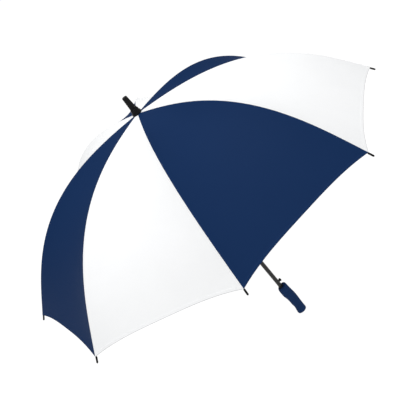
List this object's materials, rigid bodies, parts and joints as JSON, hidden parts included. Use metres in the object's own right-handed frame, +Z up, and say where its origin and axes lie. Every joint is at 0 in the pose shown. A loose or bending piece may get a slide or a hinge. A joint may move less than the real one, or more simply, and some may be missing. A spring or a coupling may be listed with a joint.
{
  "type": "golf umbrella",
  "caption": "Open stick golf umbrella with alternating navy and white canopy gores, jointed ribs and stretchers, a sliding runner, an opening spring, a push button and a contoured foam handle.",
  "frame": {"origin": "centre of the flat bottom end of the handle", "axes": "+Z up along the shaft towards the ferrule; +X along rib 1; rib k stands at azimuth 45 degrees times k minus 1"},
  "size_m": [1.3318, 1.3318, 0.972],
  "materials": {
    "navy_fabric": "matte woven polyester",
    "white_fabric": "matte woven polyester",
    "navy_foam": "matte closed-cell foam",
    "black_plastic": "satin moulded plastic",
    "black_shaft": "glossy black paint",
    "black_fibreglass": "satin pultruded fibreglass",
    "black_steel": "satin black paint",
    "zinc_steel": "bright zinc-plated"
  },
  "bodies": {
    "frame": {"shaft_tube": "black_shaft", "ferrule": "black_plastic", "ferrule_cap": "black_plastic", "top_notch": "black_plastic", "notch_wire": "zinc_steel", "handle_grip": "navy_foam", "handle_ring": "black_plastic"},
    "push_button": {"push_button": "black_plastic"},
    "runner": {"runner": "black_plastic", "runner_wire": "zinc_steel", "opening_spring": "zinc_steel"},
    "spring_collar": {"spring_collar": "black_plastic"},
    "rib_1_inner": {"rib_1_inner": "black_fibreglass", "gore_1_upper": "navy_fabric"},
    "rib_1_outer": {"rib_1_outer": "black_fibreglass", "gore_1_lower": "navy_fabric"},
    "stretcher_1": {"stretcher_1": "black_steel"},
    "strut_1": {"strut_1": "black_steel"},
    "rib_2_inner": {"rib_2_inner": "black_fibreglass", "gore_2_upper": "white_fabric"},
    "rib_2_outer": {"rib_2_outer": "black_fibreglass", "gore_2_lower": "white_fabric"},
    "stretcher_2": {"stretcher_2": "black_steel"},
    "strut_2": {"strut_2": "black_steel"},
    "rib_3_inner": {"rib_3_inner": "black_fibreglass", "gore_3_upper": "navy_fabric"},
    "rib_3_outer": {"rib_3_outer": "black_fibreglass", "gore_3_lower": "navy_fabric"},
    "stretcher_3": {"stretcher_3": "black_steel"},
    "strut_3": {"strut_3": "black_steel"},
    "rib_4_inner": {"rib_4_inner": "black_fibreglass", "gore_4_upper": "white_fabric"},
    "rib_4_outer": {"rib_4_outer": "black_fibreglass", "gore_4_lower": "white_fabric"},
    "stretcher_4": {"stretcher_4": "black_steel"},
    "strut_4": {"strut_4": "black_steel"},
    "rib_5_inner": {"rib_5_inner": "black_fibreglass", "gore_5_upper": "navy_fabric"},
    "rib_5_outer": {"rib_5_outer": "black_fibreglass", "gore_5_lower": "navy_fabric"},
    "stretcher_5": {"stretcher_5": "black_steel"},
    "strut_5": {"strut_5": "black_steel"},
    "rib_6_inner": {"rib_6_inner": "black_fibreglass", "gore_6_upper": "white_fabric"},
    "rib_6_outer": {"rib_6_outer": "black_fibreglass", "gore_6_lower": "white_fabric"},
    "stretcher_6": {"stretcher_6": "black_steel"},
    "strut_6": {"strut_6": "black_steel"},
    "rib_7_inner": {"rib_7_inner": "black_fibreglass", "gore_7_upper": "navy_fabric"},
    "rib_7_outer": {"rib_7_outer": "black_fibreglass", "gore_7_lower": "navy_fabric"},
    "stretcher_7": {"stretcher_7": "black_steel"},
    "strut_7": {"strut_7": "black_steel"},
    "rib_8_inner": {"rib_8_inner": "black_fibreglass", "gore_8_upper": "white_fabric"},
    "rib_8_outer": {"rib_8_outer": "black_fibreglass", "gore_8_lower": "white_fabric"},
    "stretcher_8": {"stretcher_8": "black_steel"},
    "strut_8": {"strut_8": "black_steel"}
  },
  "joints": [
    {"name": "button_press", "type": "slide", "parent": "frame", "child": "push_button", "axis": [-0.9239, -0.3827, 0], "range_m": [0, 0.0025], "stiffness_N_per_m": 300, "springref_m": -0.001},
    {"name": "canopy_fold", "type": "hinge", "parent": "frame", "child": "rib_1_inner", "pos_m": [0.012, 0, 0.9023], "axis": [0, 1, 0], "range_deg": [0, 76], "stiffness_Nm_per_rad": 1.5, "springref_deg": -68.75, "deforming": ["gore_1_upper", "opening_spring"]},
    {"name": "rib_1_flex", "type": "hinge", "parent": "rib_1_inner", "child": "rib_1_outer", "pos_m": [0.3602, 0, 0.83636], "axis": [0, 1, 0], "range_deg": [-29.29, 0], "deforming": ["gore_1_lower"]},
    {"name": "stretcher_1_pivot", "type": "hinge", "parent": "rib_1_inner", "child": "stretcher_1", "pos_m": [0.34351, 0, 0.83784], "axis": [0, 1, 0], "range_deg": [-152, 0]},
    {"name": "strut_1_pivot", "type": "hinge", "parent": "stretcher_1", "child": "strut_1", "pos_m": [0.05617, 0, 0.78197], "axis": [0, 1, 0], "range_deg": [0, 152]},
    {"name": "rib_2_fold", "type": "hinge", "parent": "frame", "child": "rib_2_inner", "pos_m": [0.00849, 0.00849, 0.9023], "axis": [-0.7071, 0.7071, 0], "range_deg": [0, 76], "deforming": ["gore_2_upper"]},
    {"name": "rib_2_flex", "type": "hinge", "parent": "rib_2_inner", "child": "rib_2_outer", "pos_m": [0.2547, 0.2547, 0.83636], "axis": [-0.7071, 0.7071, 0], "range_deg": [-29.29, 0], "deforming": ["gore_2_lower"]},
    {"name": "stretcher_2_pivot", "type": "hinge", "parent": "rib_2_inner", "child": "stretcher_2", "pos_m": [0.2429, 0.2429, 0.83784], "axis": [-0.7071, 0.7071, 0], "range_deg": [-152, 0]},
    {"name": "strut_2_pivot", "type": "hinge", "parent": "stretcher_2", "child": "strut_2", "pos_m": [0.03972, 0.03972, 0.78197], "axis": [-0.7071, 0.7071, 0], "range_deg": [0, 152]},
    {"name": "rib_3_fold", "type": "hinge", "parent": "frame", "child": "rib_3_inner", "pos_m": [0, 0.012, 0.9023], "axis": [-1, 0, 0], "range_deg": [0, 76], "deforming": ["gore_3_upper"]},
    {"name": "rib_3_flex", "type": "hinge", "parent": "rib_3_inner", "child": "rib_3_outer", "pos_m": [0, 0.3602, 0.83636], "axis": [-1, 0, 0], "range_deg": [-29.29, 0], "deforming": ["gore_3_lower"]},
    {"name": "stretcher_3_pivot", "type": "hinge", "parent": "rib_3_inner", "child": "stretcher_3", "pos_m": [0, 0.34351, 0.83784], "axis": [-1, 0, 0], "range_deg": [-152, 0]},
    {"name": "strut_3_pivot", "type": "hinge", "parent": "stretcher_3", "child": "strut_3", "pos_m": [0, 0.05617, 0.78197], "axis": [-1, 0, 0], "range_deg": [0, 152]},
    {"name": "rib_4_fold", "type": "hinge", "parent": "frame", "child": "rib_4_inner", "pos_m": [-0.00849, 0.00849, 0.9023], "axis": [-0.7071, -0.7071, 0], "range_deg": [0, 76], "deforming": ["gore_4_upper"]},
    {"name": "rib_4_flex", "type": "hinge", "parent": "rib_4_inner", "child": "rib_4_outer", "pos_m": [-0.2547, 0.2547, 0.83636], "axis": [-0.7071, -0.7071, 0], "range_deg": [-29.29, 0], "deforming": ["gore_4_lower"]},
    {"name": "stretcher_4_pivot", "type": "hinge", "parent": "rib_4_inner", "child": "stretcher_4", "pos_m": [-0.2429, 0.2429, 0.83784], "axis": [-0.7071, -0.7071, 0], "range_deg": [-152, 0]},
    {"name": "strut_4_pivot", "type": "hinge", "parent": "stretcher_4", "child": "strut_4", "pos_m": [-0.03972, 0.03972, 0.78197], "axis": [-0.7071, -0.7071, 0], "range_deg": [0, 152]},
    {"name": "rib_5_fold", "type": "hinge", "parent": "frame", "child": "rib_5_inner", "pos_m": [-0.012, 0, 0.9023], "axis": [0, -1, 0], "range_deg": [0, 76], "deforming": ["gore_5_upper"]},
    {"name": "rib_5_flex", "type": "hinge", "parent": "rib_5_inner", "child": "rib_5_outer", "pos_m": [-0.3602, 0, 0.83636], "axis": [0, -1, 0], "range_deg": [-29.29, 0], "deforming": ["gore_5_lower"]},
    {"name": "stretcher_5_pivot", "type": "hinge", "parent": "rib_5_inner", "child": "stretcher_5", "pos_m": [-0.34351, 0, 0.83784], "axis": [0, -1, 0], "range_deg": [-152, 0]},
    {"name": "strut_5_pivot", "type": "hinge", "parent": "stretcher_5", "child": "strut_5", "pos_m": [-0.05617, 0, 0.78197], "axis": [0, -1, 0], "range_deg": [0, 152]},
    {"name": "rib_6_fold", "type": "hinge", "parent": "frame", "child": "rib_6_inner", "pos_m": [-0.00849, -0.00849, 0.9023], "axis": [0.7071, -0.7071, 0], "range_deg": [0, 76], "deforming": ["gore_6_upper"]},
    {"name": "rib_6_flex", "type": "hinge", "parent": "rib_6_inner", "child": "rib_6_outer", "pos_m": [-0.2547, -0.2547, 0.83636], "axis": [0.7071, -0.7071, 0], "range_deg": [-29.29, 0], "deforming": ["gore_6_lower"]},
    {"name": "stretcher_6_pivot", "type": "hinge", "parent": "rib_6_inner", "child": "stretcher_6", "pos_m": [-0.2429, -0.2429, 0.83784], "axis": [0.7071, -0.7071, 0], "range_deg": [-152, 0]},
    {"name": "strut_6_pivot", "type": "hinge", "parent": "stretcher_6", "child": "strut_6", "pos_m": [-0.03972, -0.03972, 0.78197], "axis": [0.7071, -0.7071, 0], "range_deg": [0, 152]},
    {"name": "rib_7_fold", "type": "hinge", "parent": "frame", "child": "rib_7_inner", "pos_m": [0, -0.012, 0.9023], "axis": [1, 0, 0], "range_deg": [0, 76], "deforming": ["gore_7_upper"]},
    {"name": "rib_7_flex", "type": "hinge", "parent": "rib_7_inner", "child": "rib_7_outer", "pos_m": [0, -0.3602, 0.83636], "axis": [1, 0, 0], "range_deg": [-29.29, 0], "deforming": ["gore_7_lower"]},
    {"name": "stretcher_7_pivot", "type": "hinge", "parent": "rib_7_inner", "child": "stretcher_7", "pos_m": [0, -0.34351, 0.83784], "axis": [1, 0, 0], "range_deg": [-152, 0]},
    {"name": "strut_7_pivot", "type": "hinge", "parent": "stretcher_7", "child": "strut_7", "pos_m": [0, -0.05617, 0.78197], "axis": [1, 0, 0], "range_deg": [0, 152]},
    {"name": "rib_8_fold", "type": "hinge", "parent": "frame", "child": "rib_8_inner", "pos_m": [0.00849, -0.00849, 0.9023], "axis": [0.7071, 0.7071, 0], "range_deg": [0, 76], "deforming": ["gore_8_upper"]},
    {"name": "rib_8_flex", "type": "hinge", "parent": "rib_8_inner", "child": "rib_8_outer", "pos_m": [0.2547, -0.2547, 0.83636], "axis": [0.7071, 0.7071, 0], "range_deg": [-29.29, 0], "deforming": ["gore_8_lower"]},
    {"name": "stretcher_8_pivot", "type": "hinge", "parent": "rib_8_inner", "child": "stretcher_8", "pos_m": [0.2429, -0.2429, 0.83784], "axis": [0.7071, 0.7071, 0], "range_deg": [-152, 0]},
    {"name": "strut_8_pivot", "type": "hinge", "parent": "stretcher_8", "child": "strut_8", "pos_m": [0.03972, -0.03972, 0.78197], "axis": [0.7071, 0.7071, 0], "range_deg": [0, 152]},
    {"name": "runner_pivot", "type": "hinge", "parent": "stretcher_1", "child": "runner", "pos_m": [0.012, 0, 0.77338], "axis": [0, 1, 0], "range_deg": [0, 76.01]},
    {"name": "collar_pivot", "type": "hinge", "parent": "strut_1", "child": "spring_collar", "pos_m": [0.012, 0, 0.79056], "axis": [0, 1, 0], "range_deg": [-76.01, 0]}
  ],
  "couplings": [
    {"joint": "rib_1_flex", "follows": "canopy_fold", "ratio": -0.38527},
    {"joint": "stretcher_1_pivot", "follows": "canopy_fold", "ratio": -2},
    {"joint": "strut_1_pivot", "follows": "canopy_fold", "ratio": 2},
    {"joint": "rib_2_fold", "follows": "canopy_fold", "ratio": 1},
    {"joint": "rib_2_flex", "follows": "canopy_fold", "ratio": -0.38527},
    {"joint": "stretcher_2_pivot", "follows": "canopy_fold", "ratio": -2},
    {"joint": "strut_2_pivot", "follows": "canopy_fold", "ratio": 2},
    {"joint": "rib_3_fold", "follows": "canopy_fold", "ratio": 1},
    {"joint": "rib_3_flex", "follows": "canopy_fold", "ratio": -0.38527},
    {"joint": "stretcher_3_pivot", "follows": "canopy_fold", "ratio": -2},
    {"joint": "strut_3_pivot", "follows": "canopy_fold", "ratio": 2},
    {"joint": "rib_4_fold", "follows": "canopy_fold", "ratio": 1},
    {"joint": "rib_4_flex", "follows": "canopy_fold", "ratio": -0.38527},
    {"joint": "stretcher_4_pivot", "follows": "canopy_fold", "ratio": -2},
    {"joint": "strut_4_pivot", "follows": "canopy_fold", "ratio": 2},
    {"joint": "rib_5_fold", "follows": "canopy_fold", "ratio": 1},
    {"joint": "rib_5_flex", "follows": "canopy_fold", "ratio": -0.38527},
    {"joint": "stretcher_5_pivot", "follows": "canopy_fold", "ratio": -2},
    {"joint": "strut_5_pivot", "follows": "canopy_fold", "ratio": 2},
    {"joint": "rib_6_fold", "follows": "canopy_fold", "ratio": 1},
    {"joint": "rib_6_flex", "follows": "canopy_fold", "ratio": -0.38527},
    {"joint": "stretcher_6_pivot", "follows": "canopy_fold", "ratio": -2},
    {"joint": "strut_6_pivot", "follows": "canopy_fold", "ratio": 2},
    {"joint": "rib_7_fold", "follows": "canopy_fold", "ratio": 1},
    {"joint": "rib_7_flex", "follows": "canopy_fold", "ratio": -0.38527},
    {"joint": "stretcher_7_pivot", "follows": "canopy_fold", "ratio": -2},
    {"joint": "strut_7_pivot", "follows": "canopy_fold", "ratio": 2},
    {"joint": "rib_8_fold", "follows": "canopy_fold", "ratio": 1},
    {"joint": "rib_8_flex", "follows": "canopy_fold", "ratio": -0.38527},
    {"joint": "stretcher_8_pivot", "follows": "canopy_fold", "ratio": -2},
    {"joint": "strut_8_pivot", "follows": "canopy_fold", "ratio": 2},
    {"joint": "runner_pivot", "follows": "canopy_fold", "ratio": 1},
    {"joint": "collar_pivot", "follows": "canopy_fold", "ratio": -1}
  ]
}
